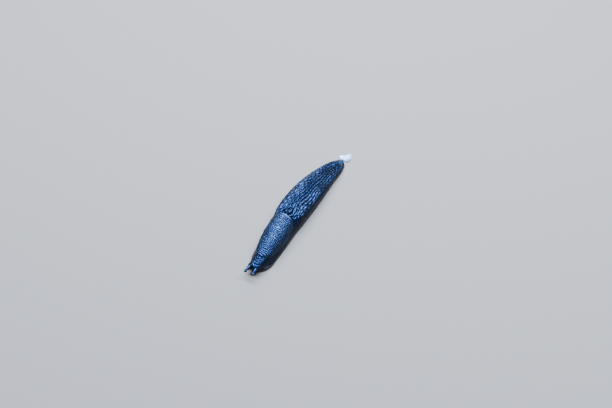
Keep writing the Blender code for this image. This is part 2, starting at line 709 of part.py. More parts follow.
def main():
    for obj in list(bpy.data.objects):
        bpy.data.objects.remove(obj)
    back = make_material("black_back_skin", BLACK_SKIN, 0.35)
    mantle = make_material("mantle_skin", MANTLE_SKIN, 0.38)
    feeler = make_material("feeler_skin", FEELER_SKIN, 0.3)
    make_head(back)
    make_mantle(mantle)
    make_torso_front(back)
    tubercled_length("torso_middle", WAIST_CUT + GAP / 2, BACK_CUT - GAP / 2, TUBERCLE_ROWS, back)
    tubercled_length("torso_rear", BACK_CUT + GAP / 2, TAIL_CUT - GAP / 2, TUBERCLE_ROWS, back)
    make_tail(back)
    make_foot(make_material("foot_skin", FOOT_SKIN, 0.35))
    make_feelers(feeler, make_material("eye_bulb_skin", EYE_BLACK, 0.15))
    make_plug(make_material("clear_slime", SLIME_WHITE, 0.12))


main()
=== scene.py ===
# A large black slug, crawling: skin, mantle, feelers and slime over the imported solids, in a plain studio.
# Places on the animal are given along the body from the snout, and round it as an angle from the middle of
# the back, positive to the animal's left. Lengths in the settings are millimetres unless the name says
# otherwise. A pair named fade gives where something sets in and the length that it takes, and a dictionary
# with a seed is a soft noise: its height, and the size of its lumps along and round the piece.
import math

import bpy
import numpy as np
from mathutils import Matrix, Vector


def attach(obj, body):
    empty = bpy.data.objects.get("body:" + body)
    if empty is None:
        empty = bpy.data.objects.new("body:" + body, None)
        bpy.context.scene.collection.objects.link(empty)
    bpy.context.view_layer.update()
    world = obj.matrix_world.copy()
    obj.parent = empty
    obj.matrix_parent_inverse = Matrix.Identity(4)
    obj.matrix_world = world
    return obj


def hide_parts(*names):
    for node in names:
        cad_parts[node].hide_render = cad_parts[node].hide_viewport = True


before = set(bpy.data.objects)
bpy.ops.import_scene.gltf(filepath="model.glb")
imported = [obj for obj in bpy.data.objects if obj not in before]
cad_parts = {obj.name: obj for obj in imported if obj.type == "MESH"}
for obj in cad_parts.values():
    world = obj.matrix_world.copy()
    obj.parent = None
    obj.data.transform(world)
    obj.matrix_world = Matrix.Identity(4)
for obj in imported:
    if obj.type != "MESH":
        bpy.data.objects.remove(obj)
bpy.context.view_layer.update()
mm = 0.001
mapUnit = 100  # millimetres to one unit of a pattern map
sides = {"Left": 1, "Right": -1}

# The body's measures: those of the solids' source, with the flanks flared a little further over the foot
body = {
    "length": 98.0, "snout": 0.7, "bendStart": 46.0, "frontBend": 440.0, "rearBend": 228.0,
    "headTurn": 2.1, "headTurnLength": 14.0, "base": 2.4,
    "snoutRound": 2.4, "snoutPower": 2.5, "tailRound": 9.0, "tailPower": 2.4,
    "widestShare": 0.28, "snoutWidestShare": 0.42, "snoutBlend": 7.0, "chinIn": 0.42,
    "sideAngle": math.radians(108), "flareAngle": math.radians(55), "flareInset": 0.6, "flareDrop": 0.45,
    "flareAtHead": 0.35, "flareFade": (4, 8), "tailSkirt": 3.0, "skirtFade": (84, 14),
    "trunk": (  # share of the length, half width, height of the back
        (0.00, 4.0, 6.9), (0.05, 4.6, 7.6), (0.10, 5.2, 8.4), (0.18, 6.1, 9.9), (0.28, 7.0, 11.6),
        (0.39, 7.8, 12.7), (0.45, 9.1, 14.0), (0.53, 9.5, 14.3), (0.58, 9.4, 14.1), (0.68, 9.0, 12.8),
        (0.80, 7.5, 10.4), (0.90, 5.9, 7.6), (1.00, 4.2, 4.8),
    ),
}
footPlan = {
    "front": 2.8, "frontRound": 9.0, "frontPower": 2.3, "rear": 101.6, "rearRound": 8.0, "rearPower": 2.4,
    "halfWidth": (  # share of the body's length, half width
        (0.00, 6.2), (0.05, 6.8), (0.10, 7.4), (0.16, 8.0), (0.26, 8.8), (0.40, 9.3), (0.52, 9.9),
        (0.66, 9.6), (0.80, 7.9), (0.90, 6.4), (1.00, 4.7),
    ),
}


def smoothStep(t):
    t = np.clip(t, 0.0, 1.0)
    return t * t * (3 - 2 * t)


def fadeIn(value, start, length):
    return smoothStep((value - start) / length)


def bell(offset, width, flat=0.0):
    # 1 in the middle and for flat to both sides of it, from there falling off over width
    return np.exp(-((np.maximum(np.abs(offset) - flat, 0) / width) ** 2))


def smoothThrough(x, places, values):
    # a smooth curve through the points that never overshoots them
    places, values = np.array(places, float), np.array(values, float)
    steps = np.diff(places)
    slopes = np.diff(values) / steps
    tangents = np.concatenate(([slopes[0]], (slopes[:-1] + slopes[1:]) / 2, [slopes[-1]]))
    tangents[1:-1][slopes[:-1] * slopes[1:] <= 0] = 0.0
    limit = 3 * np.minimum(np.abs(np.append(slopes, slopes[-1])), np.abs(np.insert(slopes, 0, slopes[0])))
    tangents = np.clip(tangents, -limit, limit)
    x = np.clip(x, places[0], places[-1])
    i = np.clip(np.searchsorted(places, x, side="right") - 1, 0, len(steps) - 1)
    t = (x - places[i]) / steps[i]
    rise = values[i + 1] - values[i]
    sway = steps[i] * t * (1 - t) * (tangents[i] * (1 - t) - tangents[i + 1] * t)
    return values[i] + rise * t * t * (3 - 2 * t) + sway


def roundEnds(along, front, frontPower, start, rear, rearPower, end):
    ahead = np.clip(1 - (along - start) / front, 0, 1)
    behind = np.clip(1 - (end - along) / rear, 0, 1)
    return np.sqrt(1 - ahead**frontPower) * np.sqrt(1 - behind**rearPower)


def centreLine(along, headTurns=True):
    # plan position of the middle, and the unit vector to the animal's left
    radius = np.where(along < body["bendStart"], body["frontBend"], body["rearBend"])
    turn = (along - body["bendStart"]) / radius
    x, y = radius * (1 - np.cos(turn)), radius * np.sin(turn)
    if headTurns:
        x = x - body["headTurn"] * np.clip(1 - along / body["headTurnLength"], 0, 1) ** 2
    return np.stack([x, y], -1), np.stack([np.cos(turn), -np.sin(turn)], -1)


def footHalfWidth(along):
    shares, widths = zip(*footPlan["halfWidth"])
    width = smoothThrough(along / body["length"], shares, widths)
    return width * roundEnds(along, footPlan["frontRound"], footPlan["frontPower"], footPlan["front"],
                             footPlan["rearRound"], footPlan["rearPower"], footPlan["rear"])


def trunkWidthAndHeight(along):
    # half width and height of the back, before the ends are rounded off
    shares, widths, heights = zip(*body["trunk"])
    share = along / body["length"]
    return smoothThrough(share, shares, widths), smoothThrough(share, shares, heights)


def trunkSurface(along, angle, lift=0.0):
    # points of the trunk's skin in millimetres, raised by lift along the section's normal
    along, angle = np.broadcast_arrays(np.asarray(along, float), np.asarray(angle, float))
    width, height = trunkWidthAndHeight(along)
    roundOff = roundEnds(along, body["snoutRound"], body["snoutPower"], body["snout"],
                         body["tailRound"], body["tailPower"], body["length"])
    nearness = 1 - fadeIn(along, body["snout"], body["snoutBlend"])
    rise = body["widestShare"] + (body["snoutWidestShare"] - body["widestShare"]) * nearness
    widest = body["base"] + (height - body["base"]) * rise
    over, under = (height - widest) * roundOff, (widest - body["base"]) * roundOff
    width = width * roundOff
    side = body["sideAngle"]
    # low on the flank the skin spreads to the foot's edge, and at the tail it also runs on to the foot's end
    low = np.clip((np.abs(angle) - body["flareAngle"]) / (side - body["flareAngle"]), 0, 1)
    along = along + body["tailSkirt"] * low**2 * fadeIn(along, *body["skirtFade"])
    room = np.maximum(footHalfWidth(along) - body["flareInset"] - width * math.sin(side), 0) * roundOff
    room = room * (body["flareAtHead"] + (1 - body["flareAtHead"]) * fadeIn(along, *body["flareFade"]))
    reach = np.where(np.abs(angle) <= math.pi / 2, over, under / -math.cos(side))
    least = 0.1  # keeps the normals defined where the section closes
    outNormal, upNormal = np.sin(angle) * np.maximum(reach, least), np.cos(angle) * np.maximum(width, least)
    size = np.hypot(outNormal, upNormal)
    out = width * np.sin(angle) * (1 - body["chinIn"] * nearness * low**2)
    out = out + np.sign(angle) * room * low**3 + lift * outNormal / size
    up = widest + reach * np.cos(angle) + lift * upNormal / size - body["flareDrop"] * low**3
    middle, left = centreLine(along)
    return np.concatenate([middle + left * out[..., None], up[..., None]], -1)


def placeOnBody(along, out, height):
    middle, left = centreLine(np.array(float(along)))
    x, y = middle + left * out
    return np.array([x, y, height])


def bodyTurn(along):
    left = centreLine(np.array(float(along)))[1]
    return Matrix.Rotation(math.atan2(left[1], left[0]), 3, "Z")


def softNoise(x, y, height, size, seed, shift=(0, 0)):
    # smooth noise from -height to height, with lumps of that size in the units of x and y
    x, y = x / size[0] + shift[0], y / size[1] + shift[1]
    count = 64
    lattice = np.random.default_rng(seed).uniform(-1, 1, (count, count))
    x0, y0 = np.floor(x).astype(int), np.floor(y).astype(int)
    tx, ty = smoothStep(x - x0), smoothStep(y - y0)
    a, b = lattice[x0 % count, y0 % count], lattice[(x0 + 1) % count, y0 % count]
    c, d = lattice[x0 % count, (y0 + 1) % count], lattice[(x0 + 1) % count, (y0 + 1) % count]
    return height * ((a * (1 - tx) + b * tx) * (1 - ty) + (c * (1 - tx) + d * tx) * ty)


def grains(u, v, seed, jitter):
    # Staggered cells one unit long in u and one wide in v. Gives how deep inside its cell each point is, its
    # place across the cell, and a random value for the cell.
    source = np.random.default_rng(seed)
    size = 160
    shiftU, shiftV = source.uniform(-1, 1, (2, size, size)) * np.array(jitter)[:, None, None]
    value = source.uniform(0, 1, (size, size))
    row0 = np.floor(v).astype(int)
    best, second = np.full(u.shape, np.inf), np.full(u.shape, np.inf)
    side, pick = np.zeros(u.shape), np.zeros(u.shape)
    for rowStep in (-1, 0, 1):
        row = row0 + rowStep
        column0 = np.floor(u - 0.5 * (row % 2)).astype(int)
        for columnStep in (-1, 0, 1):
            column = column0 + columnStep
            du = u - (column + 0.5 + 0.5 * (row % 2) + shiftU[row % size, column % size])
            dv = v - (row + 0.5 + shiftV[row % size, column % size])
            distance = np.hypot(du, dv)
            nearer = distance < best
            second = np.where(nearer, best, np.minimum(second, distance))
            side = np.where(nearer, dv, side)
            pick = np.where(nearer, value[row % size, column % size], pick)
            best = np.where(nearer, distance, best)
    return second - best, side, pick


def gridSheet(name, cutsAlong, cutsRound):
    # a square grid from Blender's own primitive, and the places u and v of its vertices from 0 to 1
    bpy.ops.object.select_all(action="DESELECT")
    bpy.ops.mesh.primitive_grid_add(x_subdivisions=cutsAlong, y_subdivisions=cutsRound, size=2)
    piece = bpy.context.active_object
    piece.name = piece.data.name = name
    flat = np.empty(len(piece.data.vertices) * 3, np.float32)
    piece.data.vertices.foreach_get("co", flat)
    u, v = ((flat.reshape(-1, 3)[:, :2].astype(float) + 1) / 2).T
    return piece, u, v


def setPoints(piece, points):
    piece.data.vertices.foreach_set("co", (points * mm).astype(np.float32).ravel())


def setUv(piece, u, v):
    # a pattern map in real size, from places in millimetres
    corner = np.empty(len(piece.data.loops), int)
    piece.data.loops.foreach_get("vertex_index", corner)
    uv = np.stack([u[corner], v[corner]], -1) / mapUnit
    piece.data.uv_layers[0].name = "skinMap"
    piece.data.uv_layers[0].data.foreach_set("uv", uv.astype(np.float32).ravel())


def setShade(piece, name, values):
    layer = piece.data.attributes.new(name, "FLOAT", "POINT")
    layer.data.foreach_set("value", np.asarray(values, np.float32))


def closeUp(piece, mergeDistance=0.002):
    # welds the seam and the poles, turns all faces outwards and shades them smooth
    bpy.ops.object.select_all(action="DESELECT")
    piece.select_set(True)
    bpy.context.view_layer.objects.active = piece
    bpy.ops.object.mode_set(mode="EDIT")
    bpy.ops.mesh.select_all(action="SELECT")
    bpy.ops.mesh.remove_doubles(threshold=mergeDistance * mm)
    bpy.ops.mesh.dissolve_degenerate(threshold=mergeDistance * mm)
    bpy.ops.mesh.normals_make_consistent(inside=False)
    bpy.ops.object.mode_set(mode="OBJECT")
    bpy.ops.object.shade_smooth()


def dress(piece, material, slot, *nodes):
    piece.data.materials.clear()
    piece.data.materials.append(material)
    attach(piece, "root")
    if nodes:
        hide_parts(*nodes)


# Helpers for the materials
def linear(hexColour):
    channels = [int(hexColour[i:i + 2], 16) / 255 for i in (1, 3, 5)]
    return (*[c / 12.92 if c <= 0.04045 else ((c + 0.055) / 1.055) ** 2.4 for c in channels], 1.0)


def addNode(tree, kind, inputs=None, **settings):
    node = tree.nodes.new(kind)
    for key, value in settings.items():
        setattr(node, key, value)
    for socket, value in (inputs or {}).items():
        if isinstance(value, bpy.types.NodeSocket):
            tree.links.new(value, node.inputs[socket])
        else:
            node.inputs[socket].default_value = value
    return node


def startMaterial(name, **sockets):
    material = bpy.data.materials.new(name)
    material.use_nodes = True
    tree = material.node_tree
    shader = tree.nodes["Principled BSDF"]
    for key, value in sockets.items():
        shader.inputs[key.replace("_", " ")].default_value = value
    return material, tree, shader


def mapRange(tree, value, low, high, toLow=0.0, toHigh=1.0):
    return addNode(tree, "ShaderNodeMapRange", {0: value, 1: low, 2: high, 3: toLow, 4: toHigh}).outputs[0]


def mixColour(tree, factor, a, b):
    return addNode(tree, "ShaderNodeMix", {0: factor, 6: a, 7: b}, data_type="RGBA").outputs[2]


def attribute(tree, name):
    return addNode(tree, "ShaderNodeAttribute", attribute_name=name).outputs["Fac"]


def objectPlace(tree):
    return addNode(tree, "ShaderNodeTexCoord").outputs["Object"]


def addNoise(tree, place, size, detail, roughness=0.5):
    inputs = {0: place, "Scale": 1 / (size * mm), "Detail": detail, "Roughness": roughness}
    return addNode(tree, "ShaderNodeTexNoise", inputs).outputs[0]


def addCells(tree, place, size):
    return addNode(tree, "ShaderNodeTexVoronoi", {0: place, "Scale": 1 / (size * mm)}).outputs[0]


def addBump(tree, height, strength, depth, invert=False, **normal):
    inputs = {"Strength": strength, "Distance": depth * mm, "Height": height, **normal}
    return addNode(tree, "ShaderNodeBump", inputs, invert=invert).outputs[0]


# What the skins of the back and the mantle have in common: ranges are from, to, and what these become
wetSkin = {
    "patchSize": 6.0, "patchDetail": 3.0, "patchRange": (0.35, 0.7, 0.0, 0.45),
    "skinRange": (0.05, 0.5), "crestRange": (0.45, 0.95), "wetRange": (0.05, 0.6),
    "grooveDulling": 0.24, "unevenRange": (0.3, 0.7, -0.04, 0.05), "flankRoughness": 0.46,
    "wrinkleSize": 0.55, "wrinkleDetail": 4.0, "wrinkleRoughness": 0.6, "wrinkleStrength": 0.9,
    "wrinkleDepth": 0.055, "poreStrength": 0.8, "poreDepth": 0.05,
}


def makeSkin(name, look):
    # Slug skin, grown, wet with thin slime: near black pigment with a painted blue sheen on the grain tops
    # and the top of the body, painted shade in the grooves, fading to black on the flanks; a broad cool
    # gloss, and tiny sharp glints on each wet grain
    material, tree, shader = startMaterial(
        name, IOR=1.38, Coat_Weight=0.05, Coat_Roughness=0.08, Coat_IOR=1.34,
        Specular_IOR_Level=look["level"], Specular_Tint=linear(look["tint"]),
    )
    relief = attribute(tree, "relief")
    # how far out on the flank each point is: over this the painted sheen fades into the flank's black, and
    # the skin turns duller
    flankSheenFalloff = mapRange(tree, attribute(tree, "side"), *look["flankSheenFalloffRange"])
    place = objectPlace(tree)
    patches = addNoise(tree, place, wetSkin["patchSize"], wetSkin["patchDetail"])
    pores = addCells(tree, place, look["poreSize"])
    wrinkles = addNoise(
        tree, place, wetSkin["wrinkleSize"], wetSkin["wrinkleDetail"], wetSkin["wrinkleRoughness"],
    )
    # painted shade: the grooves take the near black groove colour; painted sheen: the raised skin and the
    # crests take the dark and the lighter blue
    groove = linear(look["groove"])
    colour = mixColour(tree, mapRange(tree, relief, *wetSkin["skinRange"]), groove, linear(look["skin"]))
    colour = mixColour(tree, mapRange(tree, relief, *wetSkin["crestRange"]), colour, linear(look["crest"]))
    colour = mixColour(tree, mapRange(tree, patches, *wetSkin["patchRange"]), colour, groove)
    # painted falloff of the sheen: black towards the flanks
    colour = mixColour(tree, flankSheenFalloff, colour, linear(look["flank"]))
    tree.links.new(colour, shader.inputs["Base Color"])
    # crests are wettest; grooves and the flanks are duller
    dullest = look["roughness"] + wetSkin["grooveDulling"]
    wet = mapRange(tree, relief, *wetSkin["wetRange"], dullest, look["roughness"])
    uneven = mapRange(tree, wrinkles, *wetSkin["unevenRange"])
    dull = addNode(tree, "ShaderNodeMath", {0: wet, 1: uneven}).outputs[0]
    satin = addNode(tree, "ShaderNodeMix", {0: flankSheenFalloff, 2: dull, 3: wetSkin["flankRoughness"]}).outputs[0]
    tree.links.new(satin, shader.inputs["Roughness"])
    fine = addBump(tree, pores, wetSkin["poreStrength"], wetSkin["poreDepth"], invert=True)
    coarse = addBump(tree, wrinkles, wetSkin["wrinkleStrength"], wetSkin["wrinkleDepth"], Normal=fine)
    tree.links.new(coarse, shader.inputs["Normal"])
    return material


# Where the feelers stand, and their outlines as distance from the root and radius
feelers = {
    "upper": {
        "along": 1.2, "out": 2.25, "height": 5.7, "rise": 7.0, "splay": {"Left": 0.5, "Right": 9.0},
        "grid": (120, 72), "mapRadius": 0.8, "creased": 1,
        "tipDark": 1.0, "tipFade": (2.32, 1.015), "rootShadow": 1.0,
        "profile": (
            (-3.0, 0.0), (-2.9, 0.8), (-1.8, 0.95), (-0.5, 0.98), (0.6, 0.95), (1.102, 0.9), (1.798, 0.736),
            (2.436, 0.752), (3.35, 0.931), (3.85, 0.9215), (4.3, 0.76), (4.6, 0.399), (4.7, 0.0),
        ),
    },
    "lower": {
        "along": 0.9, "out": 1.95, "height": 3.85, "rise": -14.0, "splay": {"Left": 24.0, "Right": 24.0},
        "grid": (60, 48), "mapRadius": 0.48, "creased": 0,
        "tipDark": 0.5, "tipFade": (0.9, 0.6), "rootShadow": 0.0,
        "profile": (
            (-2.0, 0.0), (-1.9, 0.55), (-1.0, 0.7425), (0.2, 0.55), (0.75, 0.456), (1.125, 0.48),
            (1.35, 0.36), (1.47, 0.168), (1.5, 0.0),
        ),
    },
    "rootShadowFade": (0, 0.9), "creaseFade": (2.32, 0.6), "ringEvery": 0.36, "ringHeight": 0.006,
    "ringDrift": {"height": 3, "size": (0.6, math.pi / 4), "seed": 61},
    "crease": {"height": 0.02, "size": (0.4, math.pi / 8), "seed": 62},
    "look": {
        "tint": "#7fb0ff", "bead": "#050d1c", "gap": "#030812", "dark": "#040812",
        "beadSize": 0.32, "beadRange": (0.1, 0.7), "beadStrength": 0.7, "beadDepth": 0.05, "bleed": 0.4,
    },
}


def feelerFrame(kind, side):
    # root point in millimetres and direction
    feeler, sign = feelers[kind], sides[side]
    turn, rise = math.radians(feeler["splay"][side]) * sign, math.radians(feeler["rise"])
    ahead = Vector((math.sin(turn) * math.cos(rise), -math.cos(turn) * math.cos(rise), math.sin(rise)))
    root = placeOnBody(feeler["along"], sign * feeler["out"], feeler["height"])
    return root, np.array((bodyTurn(feeler["along"]) @ ahead).normalized())


# Lips, mouth and the mounds under the feelers
head = {
    "upper": {"sunk": 1.6, "size": 1.4, "rise": 0.45}, "lower": {"sunk": 0.9, "size": 0.8, "rise": 0.4},
    "moundPower": 2.4, "moundFade": (-1.6, 1.6),
    "lipAlong": 1.2, "lipOut": 0.8, "lipHeight": 3.4, "lipSize": (0.85, 1.6, 0.85), "lipRise": 0.75,
    "lipWay": (0.2, -0.95, -0.2), "frontFade": (1.5, 1.5),
    "cleftWidth": 0.16, "cleftHeight": 0.5, "cleftFlat": 0.7, "cleftEnd": 0.3, "cleftShare": 0.6,
    "mouthDrop": 0.35, "mouthDepth": 1.1, "mouthCurve": 0.16, "mouthWidth": 0.2, "mouthFlat": 0.9,
    "mouthEnd": 0.25,
}


def raiseHead(points):
    lifted = points.copy()
    for side, sign in sides.items():
        for kind in ("upper", "lower"):
            mound = head[kind]
            root, ahead = feelerFrame(kind, side)
            away = points - (root - ahead * mound["sunk"])
            inLine = away @ ahead
            off = np.linalg.norm(away - inLine[:, None] * ahead, axis=1)
            push = np.exp(-((off / mound["size"]) ** head["moundPower"]))
            push = mound["rise"] * push * fadeIn(inLine, *head["moundFade"])
            lifted += push[:, None] * ahead
        lip = placeOnBody(head["lipAlong"], sign * head["lipOut"], head["lipHeight"])
        away = (points - lip) / np.array(head["lipSize"])
        swell = head["lipRise"] * np.exp(-np.sum(away**2, 1))
        lifted += swell[:, None] * np.array(head["lipWay"]) * (sign, 1, 1)
    mouth = placeOnBody(body["snout"], 0.0, head["lipHeight"])
    across, up = lifted[:, 0] - mouth[0], lifted[:, 2] - mouth[2]
    front = 1 - fadeIn(points[:, 1] - mouth[1], *head["frontFade"])
    # an upright cleft between the lips, and the mouth's curved line
    cleft = bell(up - head["cleftHeight"], head["cleftEnd"], head["cleftFlat"])
    cleft = cleft * bell(across, head["cleftWidth"])
    curve = up + head["mouthDrop"] + head["mouthCurve"] * across**2
    line = bell(curve, head["mouthWidth"]) * bell(across, head["mouthEnd"], head["mouthFlat"])
    lifted[:, 1] += head["mouthDepth"] * np.maximum(head["cleftShare"] * cleft, line) * front
    return lifted


# The body's one skin, from the snout to the tail, with its grains raised in the mesh
back = {
    "ringsAlong": 372, "pointsRound": 264, "endShare": 0.38, "underShare": 0.035,
    "rows": 18, "tailRowsLost": 6, "rowsFade": (72, 26), "rowShift": 16,
    "grainLength": 5.2, "shortening": 4.0, "shorteningPower": 5, "jitter": (0.24, 0.10), "seed": 11,
    "wave": 0.275, "waveLength": 17.0, "waveBow": 2.0, "waveTurns": 1.7,
    "drift": {"height": 0.4, "size": (9, 1 / 2.2), "shift": (5, 9), "seed": 3},
    "zigzag": 0.08, "ridgeFill": 0.52, "breakDepth": 0.03, "breakWidth": 0.5,
    "height": 0.66, "lowest": 0.72, "sunk": 0.22, "keel": 0.12, "keelHalfWidth": 0.42, "keelPower": 1.5,
    "uneven": {"height": 0.10, "size": (0.8, 1 / 1.5), "seed": 12},
    "lump": {"height": 0.03, "size": (0.75, 0.5), "seed": 13},
    "flankLoss": 0.8, "tailHeight": 0.75, "tailFade": (0, 18), "tipFade": (0, 1.5),
    "tipLump": {"height": 0.12, "size": (0.5, 0.7), "shift": (3, 0), "seed": 17},
    "tipLumpFade": (88, 8), "tipEndFade": (0, 0.4), "mantleFade": (1.0, 0.10), "neckFade": (12.5, 5),
    "pitHeight": 4.2, "pitSize": 1.2, "pitDepth": 1.1, "pitWay": (0.0, -0.8, -0.6),
    "beadShade": (0.15, 0.8), "headSheenNarrowing": 0.7, "headSheenNarrowingFade": (9, 6),
    # the skin and crest blues are a painted sheen over the near black skin, stronger on the crests, and the
    # groove colour is painted shade; over the flank range the painted sheen fades into the flank's black
    "look": {
        "groove": "#010101", "skin": "#010306", "crest": "#050c19", "flank": "#030303",
        "flankSheenFalloffRange": (0.36, 0.6), "roughness": 0.22, "level": 0.36, "tint": "#6ca8ff", "poreSize": 0.36,
    },
}


def backGrains(along, angle, arc, flank):
    # how far each point stands up from the grooves, 0 to 1, and the height that this gives the skin
    wave = back["wave"] * np.sin(
        2 * math.pi * along / back["waveLength"] + back["waveBow"] * np.sin(angle * back["waveTurns"])
    )
    wave += softNoise(along, angle, **back["drift"])
    count = along / back["grainLength"]
    count = count + back["shortening"] * (along / body["length"]) ** back["shorteningPower"]
    rows = back["rows"] - back["tailRowsLost"] * fadeIn(along, *back["rowsFade"])
    across = angle / body["sideAngle"] / 2 * rows + back["rowShift"] + wave
    # each grain is widest where the grains beside it end, so the grooves between the rows run in a zigzag
    across = across - back["zigzag"] * np.cos(2 * math.pi * count) * np.cos(math.pi * across)
    deep, sideways, value = grains(count, across, back["seed"], back["jitter"])
    whole = np.sqrt(np.clip((deep - back["breakDepth"]) / back["breakWidth"], 0, 1))
    ridge = np.cos(math.pi * (across % 1 - 0.5))
    mound = ridge * (back["ridgeFill"] + (1 - back["ridgeFill"]) * whole)
    mound = mound * (1 + softNoise(along, across, **back["uneven"]))
    keel = back["keel"] * np.clip(1 - np.abs(sideways) / back["keelHalfWidth"], 0, 1) ** back["keelPower"]
    level = back["height"] * (back["lowest"] + (1 - back["lowest"]) * value)
    height = mound * (level + keel + softNoise(along, arc, **back["lump"])) - back["sunk"]
    tail = fadeIn(body["length"] - along, *back["tailFade"])
    fade = (1 - back["flankLoss"] * flank**3) * (back["tailHeight"] + (1 - back["tailHeight"]) * tail)
    return mound, height * fade


# Low beads in bands across the neck, finer ones on the face, and two furrows along the neck
neck = {
    "beadAcross": 3.2, "beadAlong": 1.3, "seed": 19, "faceAcross": 0.95, "faceUp": 0.75, "faceSeed": 29,
    "warpAcross": {"height": 0.5, "size": (2.0, 1 / 3), "seed": 5},
    "warpAlong": {"height": 0.5, "size": (3.0, 1 / 2.5), "shift": (4, 0), "seed": 7},
    "shift": 30, "jitter": (0.3, 0.22), "beadFade": (-0.02, 0.6), "lowest": 0.75,
    "height": 0.22, "level": 0.6, "faceFade": (0.5, 0.9), "faceHeight": 0.6, "flankLoss": 0.3,
    "furrowAngle": math.radians(18), "furrowWidth": math.radians(5), "furrowDepth": 0.1,
    "furrowFade": (4.5, 2.5), "furrowLeast": 0.8,
    "furrowSway": {"height": 0.05, "size": (2.0, 1), "seed": 8},
    "furrowUneven": {"height": 0.2, "size": (1.3, 1), "shift": (0, 4), "seed": 9},
}


def beads(across, along, seed):
    deep, _, value = grains(across + neck["shift"], along, seed, neck["jitter"])
    return fadeIn(deep, *neck["beadFade"]) * (neck["lowest"] + (1 - neck["lowest"]) * value)


def neckBeads(along, angle, arc, flank):
    # how far each point stands up from between the beads, 0 to 1, and the height that this gives the skin
    bead = beads(
        arc / neck["beadAcross"] + softNoise(along, angle, **neck["warpAcross"]),
        along / neck["beadAlong"] + softNoise(along, angle, **neck["warpAlong"]), neck["seed"],
    )
    face = trunkSurface(along, angle)
    faceBead = beads(face[:, 0] / neck["faceAcross"], face[:, 2] / neck["faceUp"], neck["faceSeed"])
    behind = fadeIn(along - body["snout"], *neck["faceFade"])
    bead = faceBead + (bead - faceBead) * behind
    height = neck["height"] * (bead - neck["level"]) * (1 - neck["flankLoss"] * flank)
    height = height * (neck["faceHeight"] + (1 - neck["faceHeight"]) * behind)
    furrowAngle = neck["furrowAngle"] + softNoise(along, 0.0, **neck["furrowSway"])
    furrow = bell(np.abs(angle) - furrowAngle, neck["furrowWidth"]) * fadeIn(along, *neck["furrowFade"])
    furrow = furrow * (neck["furrowLeast"] + softNoise(along, 0.0, **neck["furrowUneven"]))
    return bead, height - neck["furrowDepth"] * furrow


def makeBody():
    piece, u, v = gridSheet("bodySkin", back["ringsAlong"], back["pointsRound"])
    # rings stand closest at the snout and the tail, where the skin turns in
    ends = 0.5 - 0.5 * np.cos(math.pi * u)
    share = (1 - back["endShare"]) * u + back["endShare"] * ends
    along = body["snout"] + (body["length"] - body["snout"]) * share
    toEnd = body["length"] - along
    side, arch = body["sideAngle"], 1 - back["underShare"]
    angle = side * (2 * np.clip(v / arch, 0, 1) - 1)
    under = np.clip((v - arch) / back["underShare"], 0, 1)
    arc, flank = angle * trunkWidthAndHeight(along)[0], np.abs(angle) / side
    mound, grainHeight = backGrains(along, angle, arc, flank)
    bead, beadHeight = neckBeads(along, angle, arc, flank)
    # grains behind the mantle and beside it, beads in front of it
    onBack = fadeIn(mantleNearness(along, angle), *back["mantleFade"]) * fadeIn(along, *back["neckFade"])
    lift = grainHeight * onBack + beadHeight * (1 - onBack) * (along < mantle["rear"])
    lift = lift * fadeIn(toEnd, *back["tipFade"])
    tipLump = softNoise(along, arc, **back["tipLump"])
    lift = lift + tipLump * fadeIn(along, *back["tipLumpFade"]) * fadeIn(toEnd, *back["tipEndFade"])
    skin = trunkSurface(along, angle, lift)
    # the last points of each ring run back under the body, over the foot
    first, last = trunkSurface(along, -side), trunkSurface(along, side)
    skin = np.where((under > 0)[:, None], last + (first - last) * under[:, None], skin)
    skin = raiseHead(skin)
    # the slime gland's pit over the tip of the tail
    pit = placeOnBody(body["length"], 0.0, back["pitHeight"])
    push = back["pitDepth"] * bell(np.linalg.norm(skin - pit, axis=1), back["pitSize"])
    skin += push[:, None] * np.array(back["pitWay"])
    setPoints(piece, skin)
    setUv(piece, along, arc)
    # the relief drives the painted colour: painted shade between the grains and beads, painted blue sheen on
    # their tops
    darkest, rise = back["beadShade"]
    setShade(piece, "relief", np.clip(np.where(onBack > 0.5, mound, darkest + rise * bead), 0, 1))
    # painted sheen narrower on the head: its sides count as further out on the flank, so they turn black
    # sooner
    setShade(piece, "side", flank * (1 + back["headSheenNarrowing"] * (1 - fadeIn(along, *back["headSheenNarrowingFade"]))))
    closeUp(piece)
    material = makeSkin("wetBackSkinGrained", back["look"])
    dress(piece, material, "back_skin", "head", "torso_front", "torso_middle", "torso_rear", "tail")


